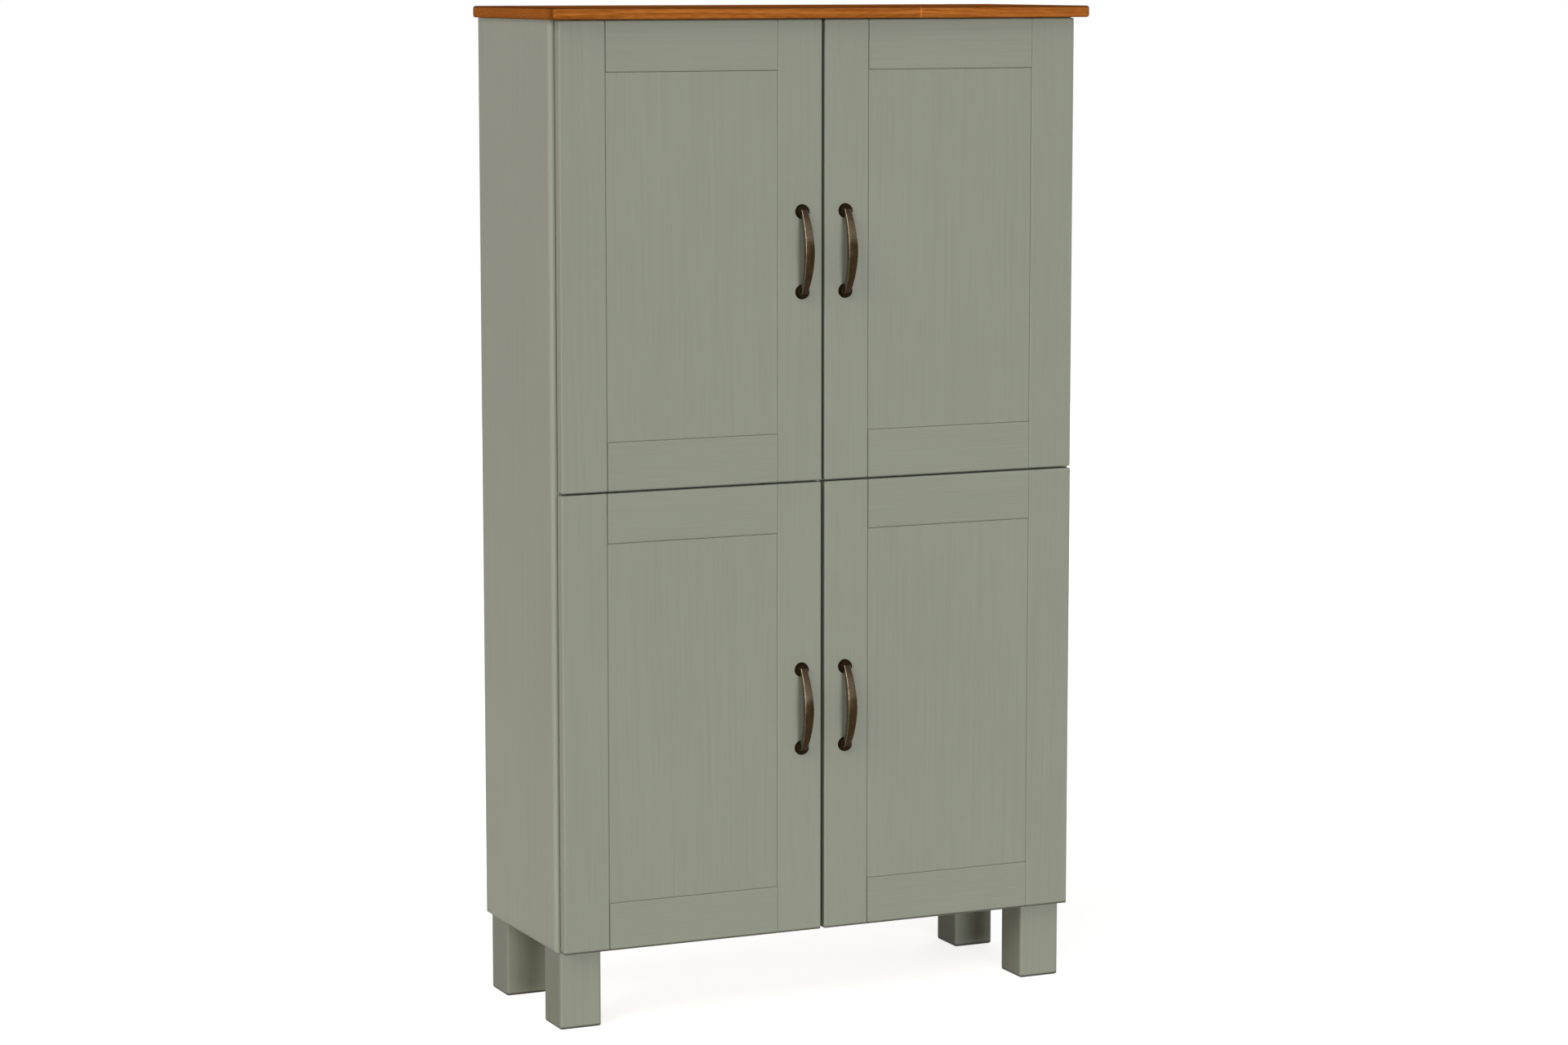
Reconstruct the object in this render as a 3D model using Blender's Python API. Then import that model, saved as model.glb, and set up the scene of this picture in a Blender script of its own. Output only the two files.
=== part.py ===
"""A tall free-standing cabinet of painted pine: a carcass on four square legs under a stained top board, closed by
two rows of framed doors that swing on concealed cup hinges.

Metres, +Z up, doors facing -Y, origin on the floor at the middle of the cabinet's own box.
"""

import math

import bmesh
import bpy
from mathutils import Matrix, Vector

for leftover in list(bpy.data.objects):
    bpy.data.objects.remove(leftover, do_unlink=True)

# Clearance left between pieces that touch
FIT = 0.0003

# Doors: one size for all four
DOOR_WIDTH = 0.3356
DOOR_HEIGHT = 0.5508
DOOR_THICKNESS = 0.0145
STILE_WIDTH = 0.058
TOP_RAIL_HEIGHT = 0.060
BOTTOM_RAIL_HEIGHT = 0.058
DOOR_EASE = 0.0016

# Groove round the inside of a door frame, for the rails' tongues and the panel
GROOVE_DEPTH = 0.009
GROOVE_WIDTH = 0.0055
GROOVE_SETBACK = 0.006
PANEL_RECESS = 0.0006
PANEL_MARGIN = 0.00015
PANEL_EASE = 0.0006

# How the doors hang on the carcass
UPPER_MEETING_GAP = 0.0036
LOWER_MEETING_GAP = 0.0046
UPPER_DOOR_REVEAL = 0.0066
ROW_GAP = 0.0024
DOOR_TOP_GAP = 0.001
DOOR_BACK_GAP = 0.0025

# Carcass
SIDE_DEPTH = 0.2365
SIDE_THICKNESS = 0.018
SIDE_EASE = 0.004
BOARD_THICKNESS = 0.018
BOARD_EASE = 0.001
HOUSING_DEPTH = 0.006
TOP_TIE_DEPTH = 0.070
BACK_THICKNESS = 0.004
BACK_LAP = 0.010
BACK_JOINT_GAP = 0.001

# Top board
TOP_THICKNESS = 0.014
TOP_FRONT_OVERHANG = 0.017
TOP_SIDE_OVERHANG = 0.006
TOP_EASE = 0.003

# Shelves and the battens that carry them
SHELF_THICKNESS = 0.016
SHELF_SETBACK = 0.024
SHELF_END_GAP = 0.001
BATTEN_THICKNESS = 0.012
BATTEN_HEIGHT = 0.020
BATTEN_SETBACK = 0.012

# Legs
LEG_WIDTH = 0.053
LEG_HEIGHT = 0.096
LEG_EASE = 0.003
LEG_SIDE_INSET = 0.0075
LEG_FRONT_INSET = 0.0026
LEG_SPIGOT_RADIUS = 0.012
LEG_SPIGOT_LENGTH = 0.012

# Bow handles
HANDLE_CENTRES = 0.096
HANDLE_EDGE_DISTANCE = 0.0266
HANDLE_PROJECTION = 0.025
HANDLE_MID_WIDTH = 0.0120
HANDLE_END_WIDTH = 0.0080
HANDLE_MID_THICKNESS = 0.0075
HANDLE_END_THICKNESS = 0.0056
HANDLE_TAPER = 1.3
HANDLE_EASE = 0.0012
HANDLE_FOOT_RADIUS = 0.0078
HANDLE_FOOT_HEIGHT = 0.0060
HANDLE_FOOT_EASE = 0.0016
HANDLE_SPIGOT_RADIUS = 0.0025
HANDLE_SPIGOT_LENGTH = 0.010
HANDLE_STATIONS = 13

# Concealed cup hinges, two on each door
HINGE_FROM_DOOR_END = 0.090
PIN_DEPTH = 0.007
PIN_RADIUS = 0.0011
PIN_PLAY = 0.0003
KNUCKLE_WALL = 0.0009
KNUCKLE_HEIGHT = 0.007
KNUCKLE_CLEARANCE = 0.0009
CUP_RADIUS = 0.0175
CUP_EDGE_DISTANCE = 0.003
CUP_WALL = 0.0008
CUP_RIM = 0.0005
CUP_RIM_THICKNESS = 0.0008
ARM_GAUGE = 0.002
ARM_SWING_GAP = 0.0016
ARM_REACH = 0.045
PLATE_HEIGHT = 0.024
PLATE_LENGTH = 0.030
PLATE_LEAST_THICKNESS = 0.0025

# Facets round the turned pieces
CUP_SIDES = 28
FOOT_SIDES = 24
SPIGOT_SIDES = 16
PIN_SIDES = 12
EASE_STEPS = 2
SMOOTH_ANGLE = math.radians(40)
SEAM_WELD = 0.000001

# Places that follow from the sizes
CARCASS_WIDTH = 2 * DOOR_WIDTH + UPPER_MEETING_GAP + 2 * UPPER_DOOR_REVEAL
CARCASS_HEIGHT = 2 * DOOR_HEIGHT + ROW_GAP + DOOR_TOP_GAP
OVERALL_DEPTH = HANDLE_PROJECTION + DOOR_THICKNESS + DOOR_BACK_GAP + SIDE_DEPTH
DOOR_FRONT_Y = HANDLE_PROJECTION - OVERALL_DEPTH / 2
CARCASS_FRONT_Y = DOOR_FRONT_Y + DOOR_THICKNESS + DOOR_BACK_GAP
CARCASS_BACK_Y = CARCASS_FRONT_Y + SIDE_DEPTH
INNER_BACK_Y = CARCASS_BACK_Y - BACK_THICKNESS - FIT
CARCASS_BOTTOM_Z = LEG_HEIGHT
CARCASS_TOP_Z = CARCASS_BOTTOM_Z + CARCASS_HEIGHT
LOWER_DOOR_Z = CARCASS_BOTTOM_Z
UPPER_DOOR_Z = LOWER_DOOR_Z + DOOR_HEIGHT + ROW_GAP
ROW_MIDDLE_Z = UPPER_DOOR_Z - ROW_GAP / 2
SIDE_OUTER_X = CARCASS_WIDTH / 2
SIDE_INNER_X = SIDE_OUTER_X - SIDE_THICKNESS
HOUSED_X = SIDE_INNER_X + HOUSING_DEPTH
PIN_BORE_RADIUS = PIN_RADIUS + PIN_PLAY
KNUCKLE_RADIUS = PIN_BORE_RADIUS + KNUCKLE_WALL
PIN_INSET = CUP_EDGE_DISTANCE + CUP_WALL + KNUCKLE_CLEARANCE + KNUCKLE_RADIUS
CUP_CENTRE_INSET = CUP_EDGE_DISTANCE + CUP_RADIUS
CUP_DEPTH = DOOR_THICKNESS - PIN_DEPTH + KNUCKLE_RADIUS + KNUCKLE_CLEARANCE + CUP_WALL
ARM_SWING_INSET = PIN_INSET + DOOR_THICKNESS - PIN_DEPTH + CUP_RIM_THICKNESS + ARM_SWING_GAP


def material(name, colour, roughness, metallic=0.0):
    """A plain Principled material."""
    made = bpy.data.materials.new(name)
    made.use_nodes = True
    shader = made.node_tree.nodes["Principled BSDF"]
    shader.inputs["Base Color"].default_value = (*colour, 1.0)
    shader.inputs["Roughness"].default_value = roughness
    shader.inputs["Metallic"].default_value = metallic
    made.diffuse_color = (*colour, 1.0)
    return made


PAINT = material("painted_pine", (0.275, 0.300, 0.233), 0.55)
STAIN = material("stained_pine", (0.300, 0.110, 0.025), 0.42)
BARE_PINE = material("bare_pine", (0.560, 0.390, 0.210), 0.60)
HARDBOARD = material("hardboard", (0.330, 0.210, 0.110), 0.75)
BRONZE = material("antique_bronze", (0.085, 0.052, 0.030), 0.42, 0.85)
STEEL = material("nickel_steel", (0.560, 0.560, 0.545), 0.32, 1.0)


def new_object(name, mesh, origin, look, parent=None):
    """Puts a mesh that is drawn about its own origin at a world point, under its parent."""
    made = bpy.data.objects.new(name, mesh)
    bpy.context.collection.objects.link(made)
    if look is not None:
        mesh.materials.append(look)
    made.parent = parent
    made.location = Vector(origin) - (parent.location if parent else Vector())
    return made


def finish(shape):
    """Turns a bmesh into a mesh with outward faces, smooth over its eased edges."""
    bmesh.ops.recalc_face_normals(shape, faces=shape.faces)
    mesh = bpy.data.meshes.new("mesh")
    shape.to_mesh(mesh)
    shape.free()
    mesh.shade_smooth()
    mesh.set_sharp_from_angle(angle=SMOOTH_ANGLE)
    return mesh


def block(name, low, high, look, ease=0.0, parent=None, eased=None):
    """A squared board between two world corners, with the chosen edges eased (all of them if none are chosen)."""
    low = Vector(low)
    high = Vector(high)
    size = high - low
    centre = (low + high) / 2
    shape = bmesh.new()
    bmesh.ops.create_cube(shape, size=1.0)
    bmesh.ops.scale(shape, vec=size, verts=shape.verts)
    if ease > 0:
        picked = []
        for edge in shape.edges:
            middle = (edge.verts[0].co + edge.verts[1].co) / 2
            if eased is None or eased(middle):
                picked.append(edge)
        bmesh.ops.bevel(
            shape, geom=picked, offset=ease, offset_type="OFFSET", segments=EASE_STEPS, profile=0.5,
            affect="EDGES", clamp_overlap=True,
        )
    return new_object(name, finish(shape), centre, look, parent)


def rod(name, start, direction, length, radius, sides):
    """A round bar from a world point along a direction, to cut with or to join on."""
    shape = bmesh.new()
    bmesh.ops.create_cone(
        shape, cap_ends=True, segments=sides, radius1=radius, radius2=radius, depth=length,
        matrix=Matrix.Translation((0, 0, length / 2)),
    )
    turn = Vector((0, 0, 1)).rotation_difference(Vector(direction)).to_matrix().to_4x4()
    bmesh.ops.transform(shape, matrix=turn, verts=shape.verts)
    return new_object(name, finish(shape), start, None)


def turned(name, profile, sides, origin, direction, look, parent=None):
    """A lathe shape: (radius, height) points spun about a direction through a world point."""
    shape = bmesh.new()
    turn = Vector((0, 0, 1)).rotation_difference(Vector(direction)).to_matrix()
    points = [shape.verts.new(turn @ Vector((radius, 0, height))) for radius, height in profile]
    edges = [shape.edges.new((a, b)) for a, b in zip(points, points[1:])]
    if profile[0][0] > 0:
        edges.append(shape.edges.new((points[-1], points[0])))
    bmesh.ops.spin(
        shape, geom=points + edges, cent=(0, 0, 0), axis=turn @ Vector((0, 0, 1)), angle=math.tau, steps=sides,
        use_merge=True,
    )
    bmesh.ops.remove_doubles(shape, verts=shape.verts, dist=SEAM_WELD)
    return new_object(name, finish(shape), origin, look, parent)


def combine(body, tool, operation):
    """Cuts a tool out of a piece, or joins it on, and removes the tool."""
    bpy.context.view_layer.update()
    modifier = body.modifiers.new(operation.title(), "BOOLEAN")
    modifier.operation = operation
    modifier.solver = "EXACT"
    modifier.object = tool
    graph = bpy.context.evaluated_depsgraph_get()
    result = bpy.data.meshes.new_from_object(body.evaluated_get(graph))
    body.modifiers.remove(modifier)
    body.data = result
    result.shade_smooth()
    result.set_sharp_from_angle(angle=SMOOTH_ANGLE)
    bpy.data.objects.remove(tool, do_unlink=True)


def cut_box(body, low, high):
    combine(body, block("tool", low, high, None), "DIFFERENCE")


def cut_rod(body, start, direction, length, radius, sides):
    combine(body, rod("tool", start, direction, length, radius, sides), "DIFFERENCE")


def join(body, other):
    combine(body, other, "UNION")


def ordered(first, second):
    """Two world corners as the low and the high one."""
    pairs = list(zip(first, second))
    return [min(pair) for pair in pairs], [max(pair) for pair in pairs]


def side_panel(name, hand):
    """An upright end of the carcass; hand is -1 on the left and 1 on the right."""
    low, high = ordered(
        (hand * SIDE_INNER_X, CARCASS_FRONT_Y, CARCASS_BOTTOM_Z),
        (hand * SIDE_OUTER_X, CARCASS_BACK_Y, CARCASS_TOP_Z - FIT),
    )

    def outer_edge(middle):
        return middle.x * hand > SIDE_THICKNESS / 4 and middle.z < (high[2] - low[2]) / 4

    panel = block(name, low, high, PAINT, SIDE_EASE, None, outer_edge)

    def housing(front, back, bottom, top):
        cut_box(
            panel,
            *ordered((hand * (SIDE_INNER_X - HOUSING_DEPTH), front, bottom), (hand * HOUSED_X, back, top)),
        )

    front = CARCASS_FRONT_Y - HOUSING_DEPTH
    back = CARCASS_BACK_Y + HOUSING_DEPTH
    housing(front, back, CARCASS_BOTTOM_Z - HOUSING_DEPTH, CARCASS_BOTTOM_Z + BOARD_THICKNESS + FIT)
    housing(
        front, back, ROW_MIDDLE_Z - BOARD_THICKNESS / 2 - FIT, ROW_MIDDLE_Z + BOARD_THICKNESS / 2 + FIT
    )
    tie_bottom = CARCASS_TOP_Z - BOARD_THICKNESS - 2 * FIT
    housing(front, CARCASS_FRONT_Y + TOP_TIE_DEPTH + FIT, tie_bottom, CARCASS_TOP_Z + HOUSING_DEPTH)
    housing(INNER_BACK_Y - TOP_TIE_DEPTH - FIT, back, tie_bottom, CARCASS_TOP_Z + HOUSING_DEPTH)
    cut_box(
        panel,
        *ordered(
            (hand * (SIDE_INNER_X - HOUSING_DEPTH), INNER_BACK_Y, CARCASS_BOTTOM_Z - HOUSING_DEPTH),
            (hand * (SIDE_INNER_X + BACK_LAP), CARCASS_BACK_Y + HOUSING_DEPTH, CARCASS_TOP_Z + HOUSING_DEPTH),
        ),
    )


def cross_board(name, front, back, bottom):
    """A flat board housed in both side panels."""
    reach = HOUSED_X - FIT
    return block(
        name, (-reach, front, bottom), (reach, back, bottom + BOARD_THICKNESS), BARE_PINE, BOARD_EASE, None,
        lambda middle: abs(middle.x) < reach / 2 and middle.y < 0,
    )


def shelf(name, floor, ceiling):
    """A loose shelf half way up a compartment, with a batten under each end."""
    bottom = (floor + ceiling - SHELF_THICKNESS) / 2
    reach = SIDE_INNER_X - SHELF_END_GAP
    front = CARCASS_FRONT_Y + SHELF_SETBACK
    block(
        name, (-reach, front, bottom), (reach, INNER_BACK_Y - FIT, bottom + SHELF_THICKNESS), BARE_PINE, BOARD_EASE
    )
    for word, hand in (("left", -1), ("right", 1)):
        low, high = ordered(
            (hand * (SIDE_INNER_X - FIT), front + BATTEN_SETBACK, bottom - FIT - BATTEN_HEIGHT),
            (hand * (SIDE_INNER_X - FIT - BATTEN_THICKNESS), INNER_BACK_Y - FIT, bottom - FIT),
        )
        block(f"{name}_{word}_batten", low, high, BARE_PINE, BOARD_EASE)


def leg(name, hand, front):
    """A square leg with a round spigot that enters the bottom panel."""
    outer = SIDE_OUTER_X - LEG_SIDE_INSET
    top = CARCASS_BOTTOM_Z - FIT
    low, high = ordered((hand * outer, front, 0), (hand * (outer - LEG_WIDTH), front + LEG_WIDTH, top))
    made = block(
        name, low, high, PAINT, LEG_EASE, None, lambda middle: middle.z < LEG_WIDTH / 4
    )
    centre = leg_centre(hand, front)
    spigot = rod(
        "spigot", (*centre, top - LEG_SPIGOT_RADIUS), (0, 0, 1), LEG_SPIGOT_RADIUS + LEG_SPIGOT_LENGTH,
        LEG_SPIGOT_RADIUS, SPIGOT_SIDES,
    )
    join(made, spigot)


def leg_centre(hand, front):
    return hand * (SIDE_OUTER_X - LEG_SIDE_INSET - LEG_WIDTH / 2), front + LEG_WIDTH / 2


def handle(name, x, z, parent):
    """A bow cast in one with its two round feet, which enter the stile by a spigot each."""
    origin = Vector((x, DOOR_FRONT_Y - FIT, z))
    half = HANDLE_CENTRES / 2
    foot = HANDLE_FOOT_HEIGHT - FIT
    crown = HANDLE_PROJECTION - FIT - HANDLE_MID_THICKNESS / 2
    rise = crown - foot
    radius = (half * half + rise * rise) / (2 * rise)
    sweep = math.asin(half / radius)
    shape = bmesh.new()
    rings = []
    for station in range(HANDLE_STATIONS):
        along = 2 * station / (HANDLE_STATIONS - 1) - 1
        angle = sweep * along
        out = Vector((0, -math.cos(angle), math.sin(angle)))
        middle = Vector((0, radius - crown, 0)) + radius * out
        taper = abs(along) ** HANDLE_TAPER
        wide = HANDLE_MID_WIDTH + (HANDLE_END_WIDTH - HANDLE_MID_WIDTH) * taper
        thick = (HANDLE_MID_THICKNESS + (HANDLE_END_THICKNESS - HANDLE_MID_THICKNESS) * taper) / 2
        flat = wide / 2 - HANDLE_EASE
        deep = thick - HANDLE_EASE
        outline = (
            (-flat, thick), (flat, thick), (wide / 2, deep), (wide / 2, -deep),
            (flat, -thick), (-flat, -thick), (-wide / 2, -deep), (-wide / 2, deep),
        )
        rings.append([shape.verts.new(middle + Vector((side, 0, 0)) + out * lift) for side, lift in outline])
    for ring, after in zip(rings, rings[1:]):
        for corner in range(len(ring)):
            beside = (corner + 1) % len(ring)
            shape.faces.new((ring[corner], ring[beside], after[beside], after[corner]))
    shape.faces.new(rings[0])
    shape.faces.new(rings[-1])
    bow = new_object(name, finish(shape), origin, BRONZE, parent)
    inner = HANDLE_FOOT_RADIUS - HANDLE_FOOT_EASE
    profile = (
        (0, HANDLE_FOOT_HEIGHT), (inner, HANDLE_FOOT_HEIGHT),
        (HANDLE_FOOT_RADIUS, HANDLE_FOOT_HEIGHT - HANDLE_FOOT_EASE), (HANDLE_FOOT_RADIUS, 0),
        (HANDLE_SPIGOT_RADIUS, 0), (HANDLE_SPIGOT_RADIUS, -HANDLE_SPIGOT_LENGTH), (0, -HANDLE_SPIGOT_LENGTH),
    )
    for end in (-1, 1):
        place = origin + Vector((0, 0, end * half))
        join(bow, turned("foot", profile, FOOT_SIDES, place, (0, -1, 0), None))


def cup(name, x_of, z, parent):
    """A turned hinge cup let into the back of the hinge stile, with the hinge pin across it."""
    back = DOOR_FRONT_Y + DOOR_THICKNESS + FIT
    bore = CUP_RADIUS - CUP_WALL
    rim = CUP_RADIUS + CUP_RIM
    profile = (
        (0, -CUP_DEPTH), (CUP_RADIUS, -CUP_DEPTH), (CUP_RADIUS, 0), (rim, 0), (rim, CUP_RIM_THICKNESS),
        (bore, CUP_RIM_THICKNESS), (bore, CUP_WALL - CUP_DEPTH), (0, CUP_WALL - CUP_DEPTH),
    )
    made = turned(name, profile, CUP_SIDES, (x_of(CUP_CENTRE_INSET), back, z), (0, 1, 0), STEEL, parent)
    offset = CUP_CENTRE_INSET - PIN_INSET + PIN_RADIUS
    length = 2 * (math.sqrt(CUP_RADIUS**2 - offset**2) - FIT / 2)
    pin_start = (x_of(PIN_INSET), DOOR_FRONT_Y + PIN_DEPTH, z - length / 2)
    join(made, rod("pin", pin_start, (0, 0, 1), length, PIN_RADIUS, PIN_SIDES))


def arm(name, x_of, inset, side_face, z):
    """A cranked hinge arm: a knuckle round the pin, a strap out of the cup and a plate on the side panel."""
    pin_y = DOOR_FRONT_Y + PIN_DEPTH
    half = KNUCKLE_HEIGHT / 2
    ring = (
        (KNUCKLE_RADIUS, half), (KNUCKLE_RADIUS, -half), (PIN_BORE_RADIUS, -half), (PIN_BORE_RADIUS, half),
    )
    made = turned(name, ring, PIN_SIDES, (x_of(PIN_INSET), pin_y, z), (0, 0, 1), STEEL)
    strap_start = PIN_INSET + PIN_BORE_RADIUS + KNUCKLE_WALL / 2
    far = x_of(inset + ARM_GAUGE)
    end_y = CARCASS_FRONT_Y + ARM_REACH
    front_y = pin_y - ARM_GAUGE / 2
    join(
        made,
        block("strap", *ordered((x_of(strap_start), front_y, z - half), (far, front_y + ARM_GAUGE, z + half)), None),
    )
    join(made, block("web", *ordered((x_of(inset), front_y, z - half), (far, end_y, z + half)), None))
    plate_half = PLATE_HEIGHT / 2
    join(
        made,
        block(
            "plate",
            *ordered(
                (side_face, end_y - PLATE_LENGTH, z - plate_half),
                (x_of(inset + ARM_GAUGE / 2), end_y - ARM_GAUGE, z + plate_half),
            ),
            None,
        ),
    )


def door(name, hand, bottom, meeting_gap):
    """A framed door on its pivot; hand is -1 for a door hung on the left and 1 on the right."""
    edge = hand * (meeting_gap / 2 + DOOR_WIDTH)
    front = DOOR_FRONT_Y
    back = front + DOOR_THICKNESS
    top = bottom + DOOR_HEIGHT

    def x_of(inset):
        """World x of a point this far in from the door's hung edge."""
        return edge - hand * inset

    pivot = bpy.data.objects.new(f"{name}_door_pivot", None)
    bpy.context.collection.objects.link(pivot)
    pivot.empty_display_size = STILE_WIDTH
    pivot.location = (x_of(PIN_INSET), front + PIN_DEPTH, bottom)

    groove_front = front + GROOVE_SETBACK
    groove_back = groove_front + GROOVE_WIDTH
    inner_left = STILE_WIDTH
    inner_right = DOOR_WIDTH - STILE_WIDTH
    panel_bottom = bottom + BOTTOM_RAIL_HEIGHT
    panel_top = top - TOP_RAIL_HEIGHT

    def stile(word, outer_inset, inner_inset, groove_inset):
        made = block(
            f"{name}_{word}_stile",
            *ordered((x_of(outer_inset), front, bottom), (x_of(inner_inset), back, top)),
            PAINT, DOOR_EASE, pivot,
        )
        cut_box(
            made,
            *ordered(
                (x_of(groove_inset), groove_front, bottom - GROOVE_DEPTH),
                (x_of(2 * inner_inset - groove_inset), groove_back, top + GROOVE_DEPTH),
            ),
        )
        return made

    hinge_stile = stile("hinge", 0, inner_left, inner_left - GROOVE_DEPTH)
    lock_stile = stile("lock", DOOR_WIDTH, inner_right, inner_right + GROOVE_DEPTH)

    def rail(word, low_z, high_z, groove_z, open_z):
        """A rail with a tongue at each end that fills the stile's groove."""
        tongue = GROOVE_DEPTH - FIT
        start = inner_left - tongue
        end = inner_right + tongue

        def long_edge(middle):
            return abs(middle.x) < DOOR_WIDTH / 8

        made = block(
            f"{name}_{word}_rail",
            *ordered((x_of(start), front, low_z), (x_of(end), back, high_z)),
            PAINT, DOOR_EASE, pivot, long_edge,
        )
        for shoulder, tip in ((inner_left + FIT, start - GROOVE_DEPTH), (inner_right - FIT, end + GROOVE_DEPTH)):
            for near, far in ((front - GROOVE_DEPTH, groove_front + FIT), (groove_back - FIT, back + GROOVE_DEPTH)):
                cut_box(
                    made,
                    *ordered((x_of(shoulder), near, low_z - GROOVE_DEPTH), (x_of(tip), far, high_z + GROOVE_DEPTH)),
                )
        cut_box(
            made,
            *ordered(
                (x_of(start - GROOVE_DEPTH), groove_front, groove_z), (x_of(end + GROOVE_DEPTH), groove_back, open_z)
            ),
        )

    rail("top", panel_top, top, panel_top + GROOVE_DEPTH, panel_top - GROOVE_DEPTH)
    rail("bottom", bottom, panel_bottom, panel_bottom - GROOVE_DEPTH, panel_bottom + GROOVE_DEPTH)

    # The panel's thin edge lies in the groove and its field stands forward in the frame's opening
    lap = GROOVE_DEPTH - 2 * FIT
    panel_low, panel_high = ordered(
        (x_of(inner_left - lap), groove_front + FIT, panel_bottom - lap),
        (x_of(inner_right + lap), groove_back - FIT, panel_top + lap),
    )
    panel = block(f"{name}_panel", panel_low, panel_high, PAINT, 0.0, pivot)
    field = block(
        "field",
        *ordered(
            (x_of(inner_left + PANEL_MARGIN), front + PANEL_RECESS, panel_bottom + PANEL_MARGIN),
            (x_of(inner_right - PANEL_MARGIN), groove_back - 2 * FIT, panel_top - PANEL_MARGIN),
        ),
        None, PANEL_EASE, None, lambda middle: middle.y < 0,
    )
    join(panel, field)

    handle_x = x_of(DOOR_WIDTH - HANDLE_EDGE_DISTANCE)
    handle_z = (bottom + top) / 2
    for end in (-1, 1):
        cut_rod(
            lock_stile,
            (handle_x, front - HANDLE_FOOT_HEIGHT, handle_z + end * HANDLE_CENTRES / 2),
            (0, 1, 0),
            HANDLE_FOOT_HEIGHT + HANDLE_SPIGOT_LENGTH,
            HANDLE_SPIGOT_RADIUS + FIT,
            SPIGOT_SIDES,
        )
    handle(f"{name}_handle", handle_x, handle_z, pivot)

    side_face = hand * (SIDE_INNER_X - FIT)
    arm_inset = max(ARM_SWING_INSET, abs(edge) - SIDE_INNER_X + PLATE_LEAST_THICKNESS)
    for word, z in (("upper", top - HINGE_FROM_DOOR_END), ("lower", bottom + HINGE_FROM_DOOR_END)):
        cut_rod(
            hinge_stile,
            (x_of(CUP_CENTRE_INSET), back + CUP_RADIUS, z),
            (0, -1, 0),
            CUP_RADIUS + CUP_DEPTH,
            CUP_RADIUS + FIT,
            CUP_SIDES,
        )
        cup(f"{name}_{word}_hinge_cup", x_of, z, pivot)
        arm(f"{name}_{word}_hinge_arm", x_of, arm_inset, side_face, z)


# Carcass
side_panel("left_side_panel", -1)
side_panel("right_side_panel", 1)
bottom_panel = cross_board("bottom_panel", CARCASS_FRONT_Y, INNER_BACK_Y - FIT, CARCASS_BOTTOM_Z)
cross_board("middle_panel", CARCASS_FRONT_Y, INNER_BACK_Y - FIT, ROW_MIDDLE_Z - BOARD_THICKNESS / 2)
tie_z = CARCASS_TOP_Z - FIT - BOARD_THICKNESS
cross_board("front_top_rail", CARCASS_FRONT_Y, CARCASS_FRONT_Y + TOP_TIE_DEPTH, tie_z)
cross_board("rear_top_rail", INNER_BACK_Y - FIT - TOP_TIE_DEPTH, INNER_BACK_Y - FIT, tie_z)

# Back, in two sheets that meet behind the middle panel
back_reach = SIDE_INNER_X + BACK_LAP - FIT
for sheet, sheet_low, sheet_high in (
    ("lower_back_panel", CARCASS_BOTTOM_Z, ROW_MIDDLE_Z - BACK_JOINT_GAP / 2),
    ("upper_back_panel", ROW_MIDDLE_Z + BACK_JOINT_GAP / 2, CARCASS_TOP_Z - FIT),
):
    block(
        sheet, (-back_reach, CARCASS_BACK_Y - BACK_THICKNESS, sheet_low), (back_reach, CARCASS_BACK_Y, sheet_high),
        HARDBOARD,
    )

# Top board
top_reach = SIDE_OUTER_X + TOP_SIDE_OVERHANG
block(
    "top_board",
    (-top_reach, DOOR_FRONT_Y - TOP_FRONT_OVERHANG, CARCASS_TOP_Z),
    (top_reach, CARCASS_BACK_Y, CARCASS_TOP_Z + TOP_THICKNESS),
    STAIN, TOP_EASE,
)

# One shelf in each compartment
shelf("lower_shelf", CARCASS_BOTTOM_Z + BOARD_THICKNESS, ROW_MIDDLE_Z - BOARD_THICKNESS / 2)
shelf("upper_shelf", ROW_MIDDLE_Z + BOARD_THICKNESS / 2, tie_z)

# Legs: the front pair behind the carcass front, the rear pair flush with its back
for corner, hand, leg_front in (
    ("front_left_leg", -1, CARCASS_FRONT_Y + LEG_FRONT_INSET),
    ("front_right_leg", 1, CARCASS_FRONT_Y + LEG_FRONT_INSET),
    ("rear_left_leg", -1, CARCASS_BACK_Y - LEG_WIDTH),
    ("rear_right_leg", 1, CARCASS_BACK_Y - LEG_WIDTH),
):
    leg(corner, hand, leg_front)
    cut_rod(
        bottom_panel,
        (*leg_centre(hand, leg_front), CARCASS_BOTTOM_Z - LEG_SPIGOT_RADIUS),
        (0, 0, 1),
        LEG_SPIGOT_RADIUS + LEG_SPIGOT_LENGTH,
        LEG_SPIGOT_RADIUS + FIT,
        SPIGOT_SIDES,
    )

# Doors
door("upper_left", -1, UPPER_DOOR_Z, UPPER_MEETING_GAP)
door("upper_right", 1, UPPER_DOOR_Z, UPPER_MEETING_GAP)
door("lower_left", -1, LOWER_DOOR_Z, LOWER_MEETING_GAP)
door("lower_right", 1, LOWER_DOOR_Z, LOWER_MEETING_GAP)
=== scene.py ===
"""Looks for the tall bathroom cabinet.

Materials, finer handles and fixings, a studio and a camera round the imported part.
"""
import math

import bmesh
import bpy
from mathutils import Matrix, Vector


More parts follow.
